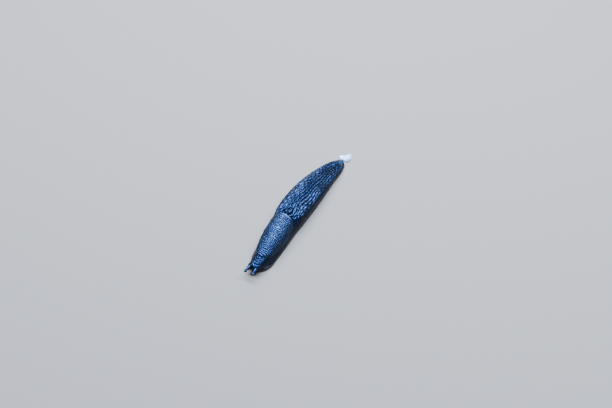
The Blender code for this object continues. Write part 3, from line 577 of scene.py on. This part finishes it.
# The mantle, a shield over the front of the back with a rolled edge and wrinkles in arcs
mantle = {
    "front": 9.8, "rear": 40.8, "angle": math.radians(86), "power": 2.5, "ringsOut": 150, "pointsRound": 560,
    "topShare": 0.84, "edgeShare": 0.94, "crowding": 0.35,  # where each spoke's top and rolled edge end
    "reach": 0.985, "edgeBulge": 0.28, "tuckPower": 1.6, "tuckSpeed": 3,
    "under": 0.12, "frontLift": 0.05, "frontFade": (10.5, 4), "underMiddle": 0.05,
    "thickness": 1.3, "crownPower": 5, "sideThinning": 0.35, "rim": 0.4, "frontRimLoss": 0.32,
    "rimFade": (11, 5),
    "grainAlong": 1.1, "grainAcross": 2.1, "girth": 10.5, "shift": 40, "bow": 3.0,
    "jitter": (0.30, 0.16), "seed": 23,
    "warpAlong": {"height": 0.75, "size": (3.2, 1 / 3.4), "seed": 31},
    "warpAcross": {"height": 0.5, "size": (3.0, 1 / 3.6), "shift": (7, 3), "seed": 32},
    "fill": 0.35, "beadFade": (-0.02, 0.6), "height": 0.32, "level": 0.6, "lowest": 0.7, "variation": 0.5,
    "smallFold": {"height": 0.10, "size": (1.9, 1 / 2.4), "shift": (11, 0), "seed": 41},
    "bigFold": {"height": 0.14, "size": (4.5, 1 / 1.6), "seed": 42},
    "edgeWidth": 0.10, "edgeLeast": 0.25, "crestShade": 0.95, "grooveShade": 0.02,
    # the skin and crest blues are a painted sheen over the near black skin, stronger on the wrinkle tops,
    # and the groove colour is painted shade; over the flank range the painted sheen fades into the flank's
    # black
    "look": {
        "groove": "#010204", "skin": "#040911", "crest": "#0d203e", "flank": "#030303",
        "flankSheenFalloffRange": (0.08, 0.5), "roughness": 0.25, "level": 0.80, "tint": "#8abaff", "poreSize": 0.30,
    },
}
# the breathing hole's dark middle is painted shade in the pit
breathingHole = {  # the wall, the lip's place and width, and the dark middle are shares of the radius
    "along": 21.0, "angle": math.radians(-60), "level": 1.0, "radius": 0.85, "depth": 1.15, "lip": 0.16,
    "wallFade": (0.35, 0.65), "lipOut": 1.35, "lipWidth": 0.4, "dark": 1.2, "darkOut": 0.8,
}
mantleMiddle = (mantle["front"] + mantle["rear"]) / 2
mantleHalf = (mantle["rear"] - mantle["front"]) / 2


def mantleNearness(along, angle):
    power = mantle["power"]
    share, turn = np.abs((along - mantleMiddle) / mantleHalf), np.abs(angle / mantle["angle"])
    return (share**power + turn**power) ** (1 / power)


def mantleWrinkles(along, angle):
    # wrinkles across the mantle in arcs, broken into long beads, 0 to 1; a random value for each; the folds
    wrinkle = along / mantle["grainAlong"] + mantle["bow"] * (angle / mantle["angle"]) ** 2
    wrinkle = wrinkle + softNoise(along, angle, **mantle["warpAlong"])
    across = angle * mantle["girth"] / mantle["grainAcross"] + mantle["shift"]
    across = across + softNoise(along, angle, **mantle["warpAcross"])
    deep, _, value = grains(across, wrinkle, mantle["seed"], mantle["jitter"])
    whole = mantle["fill"] + (1 - mantle["fill"]) * fadeIn(deep, *mantle["beadFade"])
    mound = np.cos(math.pi * (wrinkle % 1 - 0.5)) * whole
    folds = softNoise(along, angle, **mantle["smallFold"]) + softNoise(along, angle, **mantle["bigFold"])
    return mound, value, folds


def makeMantle():
    piece, u, v = gridSheet("mantleSkin", mantle["ringsOut"], mantle["pointsRound"])
    outer, edge = mantle["topShare"], mantle["edgeShare"]
    turn = 2 * math.pi * v
    power = 2 / mantle["power"]
    edgeAlong = -np.sign(np.cos(turn)) * np.abs(np.cos(turn)) ** power
    edgeRound = np.sign(np.sin(turn)) * np.abs(np.sin(turn)) ** power
    onTop = u <= outer
    spoke = np.clip(u / outer, 0, 1)
    spoke = spoke * (1 + mantle["crowding"] - mantle["crowding"] * spoke)
    # the rolled edge: half a circle from the top to the underside, then back under to the middle
    roll = np.clip((u - outer) / (edge - outer), 0, 1) * math.pi
    tuck = np.clip((u - edge) / (1 - edge), 0, 1)
    bulge = mantle["edgeBulge"] * np.sin(roll) / mantleHalf
    tucked = mantle["reach"] * (1 - tuck ** mantle["tuckPower"]) + bulge
    reach = np.where(onTop, mantle["reach"] * spoke, tucked)
    along, angle = mantleMiddle + mantleHalf * edgeAlong * reach, mantle["angle"] * edgeRound * reach
    nearness = mantleNearness(along, angle)
    under = mantle["under"] + mantle["frontLift"] * (1 - fadeIn(along, *mantle["frontFade"]))
    rim = mantle["rim"] - mantle["frontRimLoss"] * (1 - fadeIn(along, *mantle["rimFade"]))
    crown = np.sqrt(np.clip(1 - nearness ** mantle["crownPower"], 0, 1))
    crown = crown * (1 - mantle["sideThinning"] * (angle / mantle["angle"]) ** 2)
    crown = crown * (mantle["thickness"] - mantle["rim"])
    bottom = under - (under - mantle["underMiddle"]) * smoothStep(tuck * mantle["tuckSpeed"])
    mound, value, folds = mantleWrinkles(along, angle)
    relief = mantle["height"] * (mound - mantle["level"]) * (mantle["lowest"] + mantle["variation"] * value)
    relief = (relief + folds) * np.clip((1 - nearness) / mantle["edgeWidth"], mantle["edgeLeast"], 1)
    rounding = 0.5 + 0.5 * np.cos(roll)
    skin = trunkSurface(along, angle, bottom + (under + rim + crown + relief - bottom) * rounding)
    # the breathing hole, a round pit with a low rim on the right side
    hole, level = breathingHole, breathingHole["level"]
    middle, above = trunkSurface([hole["along"]] * 2, [hole["angle"]] * 2, np.array([level, level + 1]))
    off = np.linalg.norm(skin - middle, axis=1) / hole["radius"]
    lip = hole["lip"] * bell(off - hole["lipOut"], hole["lipWidth"])
    pit = hole["depth"] * (1 - fadeIn(off, *hole["wallFade"]))
    skin += ((lip - pit) * onTop)[:, None] * (above - middle)
    setPoints(piece, skin)
    setUv(piece, along, angle * (trunkWidthAndHeight(along)[0] + 1))
    # painted sheen on the wrinkles' tops, painted shade between them, and painted shade in the middle of the
    # breathing hole
    shade = mound * mantle["crestShade"] + mantle["grooveShade"] + folds
    setShade(piece, "relief", np.clip(shade - hole["dark"] * (off < hole["darkOut"]), 0, 1))
    setShade(piece, "side", np.abs(angle) / body["sideAngle"])
    closeUp(piece)
    dress(piece, makeSkin("wetMantleSkinFine", mantle["look"]), "mantle_skin", "mantle")


# Foot: flat sole, and the fringe round it with fine upright grooves
foot = {
    "pointsRound": 1400, "edgePoints": 1500, "normalStep": 0.5, "spineFrom": 6, "spineTo": 5,
    "grooveEvery": 0.74, "grooveDepth": 0.06, "groovePower": 0.7,
    "drift": {"height": 0.6, "size": (3.3, 1), "seed": 51},
    "uneven": {"height": 0.45, "size": (0.8, 6), "seed": 53},
    "dents": {"height": 0.10, "size": (3.1, 1), "shift": (0, 2), "seed": 52},
    "height": 2.1, "ringWidth": 0.35, "soleHeight": 0.01, "soleEdge": 0.3,
    # share of the way to the middle, inset from the outline, height, share of the grooves' depth: from the
    # sole's middle out to the edge and back in over the fringe
    "section": (
        (1.0, 1.1, 0.0, 0), (0.8, 1.1, 0.0, 0), (0.55, 1.1, 0.0, 0), (0.3, 1.1, 0.0, 0), (0.12, 1.1, 0.0, 0),
        (0, 0.7, 0.0, 0), (0, 0.35, 0.0, 0.3), (0, 0.12, 0.04, 0.7), (0, 0.03, 0.14, 1), (0, 0.02, 0.28, 1),
        (0, 0.03, 0.5, 1), (0, 0.12, 0.8, 1), (0, 0.25, 1.12, 1), (0, 0.4, 1.45, 1), (0, 0.62, 1.78, 1),
        (0, 0.92, 2.02, 0.9), (0, 1.3, 2.1, 0.7), (0.2, 1.3, 2.14, 0.5), (0.6, 1.3, 2.14, 0.3),
        (1.0, 1.3, 2.14, 0),
    ),
    "look": {
        "tint": "#c4d8f0", "groove": "#100c0c", "crest": "#4a3b35", "mottle": "#1e1716", "top": "#0a0809",
        "sole": "#8b8378", "crestRange": (0.2, 0.9), "mottleRange": (0.35, 0.7, 0.0, 0.8),
        "topRange": (0.55, 0.95), "soleRange": (0.1, 0.5), "mottleSize": 1.6, "mottleDetail": 4.0,
        "mottleRoughness": 0.65, "bumpStrength": 0.6, "bumpDepth": 0.06,
    },
}


def makeFootMaterial(look):
    # Foot fringe, grown, wet: brown-black bars over a pale pinkish brown rim, and a grey sole
    material, tree, shader = startMaterial(
        "wetFootFringeBarred", IOR=1.38, Coat_Weight=0.25, Coat_Roughness=0.2, Coat_IOR=1.34,
        Specular_Tint=linear(look["tint"]), Roughness=0.45,
    )
    relief, high, sole = attribute(tree, "relief"), attribute(tree, "side"), attribute(tree, "sole")
    place = objectPlace(tree)
    mottle = addNoise(tree, place, look["mottleSize"], look["mottleDetail"], look["mottleRoughness"])
    crest = mapRange(tree, relief, *look["crestRange"])
    rim = mixColour(tree, crest, linear(look["groove"]), linear(look["crest"]))
    rim = mixColour(tree, mapRange(tree, mottle, *look["mottleRange"]), rim, linear(look["mottle"]))
    rim = mixColour(tree, mapRange(tree, high, *look["topRange"]), rim, linear(look["top"]))
    colour = mixColour(tree, mapRange(tree, sole, *look["soleRange"]), rim, linear(look["sole"]))
    tree.links.new(colour, shader.inputs["Base Color"])
    bump = addBump(tree, mottle, look["bumpStrength"], look["bumpDepth"])
    tree.links.new(bump, shader.inputs["Normal"])
    return material


def makeFoot():
    section = foot["section"]
    piece, u, v = gridSheet("footSkin", len(section) - 1, foot["pointsRound"])
    # the closed outline: along the left side and back along the right, by the distance run
    front, rear = footPlan["front"], footPlan["rear"]
    edgeAlong = front + (rear - front) * (1 - np.cos(np.linspace(0, math.pi, foot["edgePoints"]))) / 2
    middle, left = centreLine(edgeAlong, False)
    run = []
    for sign in sides.values():
        edge = middle + sign * left * footHalfWidth(edgeAlong)[:, None]
        run.append(np.concatenate([[0], np.cumsum(np.hypot(*np.diff(edge, axis=0).T))]))
    total = run[0][-1] + run[1][-1]

    def outlineAt(distance):
        distance = distance % total
        onLeft = distance <= run[0][-1]
        along = np.where(onLeft, np.interp(distance, run[0], edgeAlong),
                         np.interp(total - distance, run[1], edgeAlong))
        middle, left = centreLine(along, False)
        return along, middle + left * (np.where(onLeft, 1.0, -1.0) * footHalfWidth(along))[:, None]

    distance = (v % 1.0) * total
    along, outline = outlineAt(distance)
    # inward normals from the neighbours on the outline, also round the two tips
    tangent = outlineAt(distance + foot["normalStep"])[1] - outlineAt(distance - foot["normalStep"])[1]
    tangent /= np.hypot(tangent[:, 0], tangent[:, 1])[:, None]
    inward = np.stack([-tangent[:, 1], tangent[:, 0]], -1)
    ring = np.rint(u * (len(section) - 1)).astype(int)
    towards, inset, height, share = np.array(section)[ring].T
    phase = distance / foot["grooveEvery"] + softNoise(distance, 0.0, **foot["drift"])
    groove = 0.5 + 0.5 * np.sin(2 * math.pi * phase)
    groove = np.clip(groove + softNoise(distance, ring, **foot["uneven"]), 0, 1)
    dents = np.maximum(softNoise(distance, 0.0, **foot["dents"]), 0)
    depth = share * (foot["grooveDepth"] * (1 - groove ** foot["groovePower"]) + dents)
    spine = centreLine(np.clip(along, front + foot["spineFrom"], rear - foot["spineTo"]), False)[0]
    plan = outline + inward * (inset + depth)[:, None]
    plan += (spine - plan) * towards[:, None]
    setPoints(piece, np.concatenate([plan, height[:, None]], -1))
    setUv(piece, distance, ring * foot["ringWidth"])
    setShade(piece, "relief", groove)
    setShade(piece, "side", np.clip(height / foot["height"], 0, 1))
    onSole = foot["soleEdge"] + (1 - foot["soleEdge"]) * towards
    setShade(piece, "sole", np.where(height < foot["soleHeight"], onSole, 0))
    closeUp(piece)
    dress(piece, makeFootMaterial(foot["look"]), "foot_skin", "foot_front", "foot_middle", "foot_rear")


def alongAxis(points, start, ahead):
    turn = Vector(ahead).to_track_quat("Z", "Y").to_matrix()
    return points @ np.array(turn).T + start


def turnedPiece(name, profile, rings, points):
    # a turned shape round +Z: the profile is (distance, radius) points on a smooth curve
    piece, u, v = gridSheet(name, rings, points)
    places, distances, radii = np.linspace(0, 1, len(profile)), *np.array(profile).T
    distance, radius = smoothThrough(u, places, distances), smoothThrough(u, places, radii)
    turn = 2 * math.pi * v
    return piece, np.stack([radius * np.cos(turn), radius * np.sin(turn), distance], -1), turn


def makeFeelerMaterial(look):
    # Feeler skin, grown, thin and wet: dark blue-black, finely beaded, with light bleeding through its edge,
    # darker towards the tip and with painted shade at the root
    material, tree, shader = startMaterial(
        "wetFeelerSkinBeaded", IOR=1.38, Coat_Weight=0.05, Coat_Roughness=0.12, Coat_IOR=1.34,
        Roughness=0.36, Specular_Tint=linear(look["tint"]),
        Subsurface_Weight=0.08, Subsurface_Scale=look["bleed"] * mm,
    )
    uv = addNode(tree, "ShaderNodeUVMap", uv_map="skinMap").outputs[0]
    scale = mapUnit / look["beadSize"]
    place = addNode(tree, "ShaderNodeMapping", {0: uv, 3: (scale, scale, mapUnit)}).outputs[0]
    beadCells = addNode(tree, "ShaderNodeTexVoronoi", {0: place, "Scale": 1.0}).outputs[0]
    gaps = mapRange(tree, beadCells, *look["beadRange"])
    colour = mixColour(tree, gaps, linear(look["bead"]), linear(look["gap"]))
    # the dark colour: painted shade at the root, and the darker tip
    colour = mixColour(tree, attribute(tree, "relief"), colour, linear(look["dark"]))
    tree.links.new(colour, shader.inputs["Base Color"])
    bump = addBump(tree, beadCells, look["beadStrength"], look["beadDepth"], invert=True)
    tree.links.new(bump, shader.inputs["Normal"])
    return material


def makeFeeler(kind, side, material):
    feeler = feelers[kind]
    piece, local, turn = turnedPiece(f"{kind}Feeler{side}", feeler["profile"], *feeler["grid"])
    out = local[:, 2]
    ringed = np.sin(2 * math.pi * out / feelers["ringEvery"] + softNoise(out, turn, **feelers["ringDrift"]))
    crease = feelers["ringHeight"] * ringed + softNoise(out, turn, **feelers["crease"])
    swell = 1 + feeler["creased"] * crease * (1 - fadeIn(out, *feelers["creaseFade"]))
    local[:, :2] *= swell[:, None]
    setUv(piece, out, turn * feeler["mapRadius"])
    # darker towards the tip, and painted shade at the root where the feeler leaves the head
    dark = feeler["tipDark"] * fadeIn(out, *feeler["tipFade"])
    dark = dark + feeler["rootShadow"] * (1 - fadeIn(out, *feelers["rootShadowFade"]))
    setShade(piece, "relief", np.clip(dark, 0, 1))
    setPoints(piece, alongAxis(local, *feelerFrame(kind, side)))
    closeUp(piece)
    dress(piece, material, "feeler_skin", f"{kind}_tentacle_{side.lower()}")


# The eyes show on the outer upper faces of the feelers' bulbs
eye = {
    "grid": (24, 40), "mapRadius": 0.4, "bulbMiddle": 3.75, "out": 0.67, "faces": (0.45, -0.62, 0.64),
    "profile": ((-0.1, 0.0), (-0.08, 0.24), (0.05, 0.38), (0.18, 0.35), (0.28, 0.2), (0.31, 0.0)),
    "look": {
        "pupil": "#020306", "cloud": "#0b1424", "cloudSize": 0.4, "cloudDetail": 2.0,
        "cloudRange": (0.4, 0.65),
    },
}


def makeEyeMaterial(look):
    # Eye at the feeler's tip, a pigment cup under clear wet skin: jet black with a hard, small glint
    material, tree, shader = startMaterial(
        "blackEyeUnderWetSkin", IOR=1.4, Coat_Weight=1.0, Coat_Roughness=0.03, Roughness=0.16,
    )
    cloud = addNoise(tree, objectPlace(tree), look["cloudSize"], look["cloudDetail"])
    cloud = mapRange(tree, cloud, *look["cloudRange"])
    colour = mixColour(tree, cloud, linear(look["pupil"]), linear(look["cloud"]))
    tree.links.new(colour, shader.inputs["Base Color"])
    return material


def makeEye(side, material):
    root, ahead = feelerFrame("upper", side)
    outward, forward, up = eye["faces"]
    faces = np.array(Vector((outward * sides[side], forward, up)).normalized())
    piece, local, turn = turnedPiece(f"eye{side}", eye["profile"], *eye["grid"])
    setUv(piece, local[:, 2], turn * eye["mapRadius"])
    setPoints(piece, alongAxis(local, root + ahead * eye["bulbMiddle"] + faces * eye["out"], faces))
    closeUp(piece)
    dress(piece, material, "eye_bulb", f"eye_{side.lower()}")


def makeFeelers():
    skin, black = makeFeelerMaterial(feelers["look"]), makeEyeMaterial(eye["look"])
    for side in sides:
        makeFeeler("upper", side, skin)
        makeEye(side, black)
        makeFeeler("lower", side, skin)


# Slime behind the tail: milky lobes that flow together
slime = {
    "lobes": (  # along the body, out to the left, half sizes across, along and up
        (105.6, 0.3, 2.1, 3.2, 2.2), (103.3, -3.1, 2.4, 1.7, 1.2), (108.0, -0.6, 1.3, 1.6, 1.3),
        (104.6, -1.7, 1.8, 2.0, 1.3), (106.9, -1.4, 1.1, 1.3, 0.9),
    ),
    "segments": 48, "rings": 32, "raised": 0.12, "voxel": 0.14, "smoothing": 0.6, "smoothTurns": 6,
    "bigLumps": {"height": 0.34, "size": (1.1, 1.1), "seed": 71},
    "smallLumps": {"height": 0.17, "size": (0.45, 0.45), "seed": 72},
    "footGap": 0.05, "mergeDistance": 0.005,
    "look": {
        "clear": "#4f6d8c", "milky": "#b4d0da", "bubble": "#dcebf0", "cloudSize": 1.4, "cloudDetail": 3.0,
        "cloudRange": (0.35, 0.68), "bubbleSize": 0.5, "bubbleRange": (0.0, 0.25, 0.35, 0.0),
        "bubbleStrength": 0.5, "bubbleDepth": 0.08, "bleed": 1.2,
    },
}


def makeSlimeMaterial(look):
    # Slug slime, just laid down: milky, full of tiny bubbles, with a wet clear surface
    material, tree, shader = startMaterial(
        "milkySlimeWet", IOR=1.34, Coat_Weight=0.9, Coat_Roughness=0.05, Roughness=0.22,
        Subsurface_Weight=0.35, Subsurface_Scale=look["bleed"] * mm, Subsurface_Radius=(0.8, 0.9, 1.0),
    )
    place = objectPlace(tree)
    bubbles = addCells(tree, place, look["bubbleSize"])
    cloud = addNoise(tree, place, look["cloudSize"], look["cloudDetail"])
    cloud = mapRange(tree, cloud, *look["cloudRange"])
    colour = mixColour(tree, cloud, linear(look["clear"]), linear(look["milky"]))
    colour = mixColour(tree, mapRange(tree, bubbles, *look["bubbleRange"]), colour, linear(look["bubble"]))
    tree.links.new(colour, shader.inputs["Base Color"])
    bump = addBump(tree, bubbles, look["bubbleStrength"], look["bubbleDepth"])
    tree.links.new(bump, shader.inputs["Normal"])
    return material


def makeSlime():
    bpy.ops.object.select_all(action="DESELECT")
    lobes = []
    for along, out, across, lengthwise, height in slime["lobes"]:
        bpy.ops.mesh.primitive_uv_sphere_add(segments=slime["segments"], ring_count=slime["rings"], radius=1)
        lobe = bpy.context.active_object
        place = placeOnBody(along, out, slime["raised"] * height)
        lobe.data.transform(Matrix.Diagonal((across * mm, lengthwise * mm, height * mm, 1)))
        lobe.data.transform(Matrix.Translation(place * mm) @ bodyTurn(along).to_4x4())
        lobes.append(lobe)
    for lobe in lobes:
        lobe.select_set(True)
    bpy.context.view_layer.objects.active = lobes[0]
    bpy.ops.object.join()
    piece = bpy.context.active_object
    piece.name = piece.data.name = "tailSlime"
    for kind, settings in (
        ("REMESH", {"mode": "VOXEL", "voxel_size": slime["voxel"] * mm}),
        ("SMOOTH", {"factor": slime["smoothing"], "iterations": slime["smoothTurns"]}),
    ):
        modifier = piece.modifiers.new(kind.lower(), kind)
        for key, value in settings.items():
            setattr(modifier, key, value)
        bpy.ops.object.modifier_apply(modifier=modifier.name)
    flat = np.empty(len(piece.data.vertices) * 3, np.float32)
    piece.data.vertices.foreach_get("co", flat)
    points = flat.reshape(-1, 3).astype(float) / mm
    x, y, z = points.T
    lumps = softNoise(x, y, **slime["bigLumps"]) + softNoise(x, y, **slime["smallLumps"])
    # flat where it lies on the floor, and clear of the foot
    points[:, 2] = np.maximum(z + lumps * np.clip(z, 0, 1), 0.0)
    middle, left = centreLine(np.array(footPlan["rear"] + slime["footGap"]), False)
    backwards = np.array([-left[1], left[0]])
    inFront = (points[:, :2] - middle) @ backwards
    points[:, :2] += np.clip(-inFront, 0, None)[:, None] * backwards
    setPoints(piece, points)
    closeUp(piece, slime["mergeDistance"])
    dress(piece, makeSlimeMaterial(slime["look"]), "slime", "tail_slime_plug")


# Floor, lights and camera
studio = {
    "floorSizeInM": 4.0, "floor": "#5f584e", "floorRoughness": 0.9,
    "worldColour": "#d5dbe3", "worldStrength": 0.08,
    "elevation": 60.0, "azimuth": 32.0, "lens": 50.0, "distance": 545.0, "target": (0, 0, 4.0),
    "imageShift": (-15.5, 11.5), "imageWidth": 612, "sensor": 36.0, "clipStartInM": 0.01,
    "lights": (  # name, place in m, length and width in m, power in W, colour
        ("skyKey", (-0.11, 0.30, 0.84), (1.50, 0.23), 138.0, "#c8dbff"),
        ("fill", (0.60, -0.30, 0.60), (0.40, 0.40), 0.4, "#fff2e2"),
        ("rim", (-0.32, 0.78, 0.42), (0.40, 0.25), 10.0, "#dfeaff"),
    ),
}


def makeFloorAndWorld():
    bpy.ops.object.select_all(action="DESELECT")
    bpy.ops.mesh.primitive_plane_add(size=studio["floorSizeInM"], location=(0, 0, 0))
    floor = bpy.context.active_object
    floor.name = "floor"
    # Studio paper, rolled and matt: an even pale ground with soft shadows and no glint
    sockets = {"Roughness": studio["floorRoughness"], "Base_Color": linear(studio["floor"])}
    floor.data.materials.append(startMaterial("matteStudioPaper", **sockets)[0])
    world = bpy.data.worlds.new("studioWorld")
    world.use_nodes = True
    background = world.node_tree.nodes["Background"]
    background.inputs["Color"].default_value = linear(studio["worldColour"])
    background.inputs["Strength"].default_value = studio["worldStrength"]
    bpy.context.scene.world = world


def makeLights():
    for name, place, size, power, colour in studio["lights"]:
        lamp = bpy.data.lights.new(name, "AREA")
        lamp.shape, lamp.energy, lamp.color = "ELLIPSE", power, linear(colour)[:3]
        lamp.size, lamp.size_y = size
        lampObject = bpy.data.objects.new(name, lamp)
        lampObject.location = place
        lampObject.rotation_euler = (-Vector(place)).to_track_quat("-Z", "Y").to_euler()
        bpy.context.collection.objects.link(lampObject)


def makeCamera():
    azimuth, elevation = math.radians(studio["azimuth"]), math.radians(studio["elevation"])
    flat = math.cos(elevation)
    backwards = Vector((math.sin(azimuth) * flat, -math.cos(azimuth) * flat, math.sin(elevation)))
    look = backwards.to_track_quat("Z", "Y")
    perPixel = studio["distance"] * studio["sensor"] / studio["lens"] / studio["imageWidth"]
    shift = Vector((-studio["imageShift"][0] * perPixel, studio["imageShift"][1] * perPixel, 0))
    target = Vector(studio["target"]) + look @ shift
    camera = bpy.data.cameras.new("camera")
    camera.lens, camera.sensor_width = studio["lens"], studio["sensor"]
    camera.clip_start = studio["clipStartInM"]
    cameraObject = bpy.data.objects.new("camera", camera)
    cameraObject.location = (target + backwards * studio["distance"]) * mm
    cameraObject.rotation_euler = look.to_euler()
    bpy.context.collection.objects.link(cameraObject)
    bpy.context.scene.camera = cameraObject


makeBody()
print("body skin made")
makeMantle()
print("mantle made")
makeFoot()
print("foot made")
makeFeelers()
print("feelers made")
makeSlime()
print("slime made")
makeFloorAndWorld()
makeLights()
makeCamera()
print("studio made")
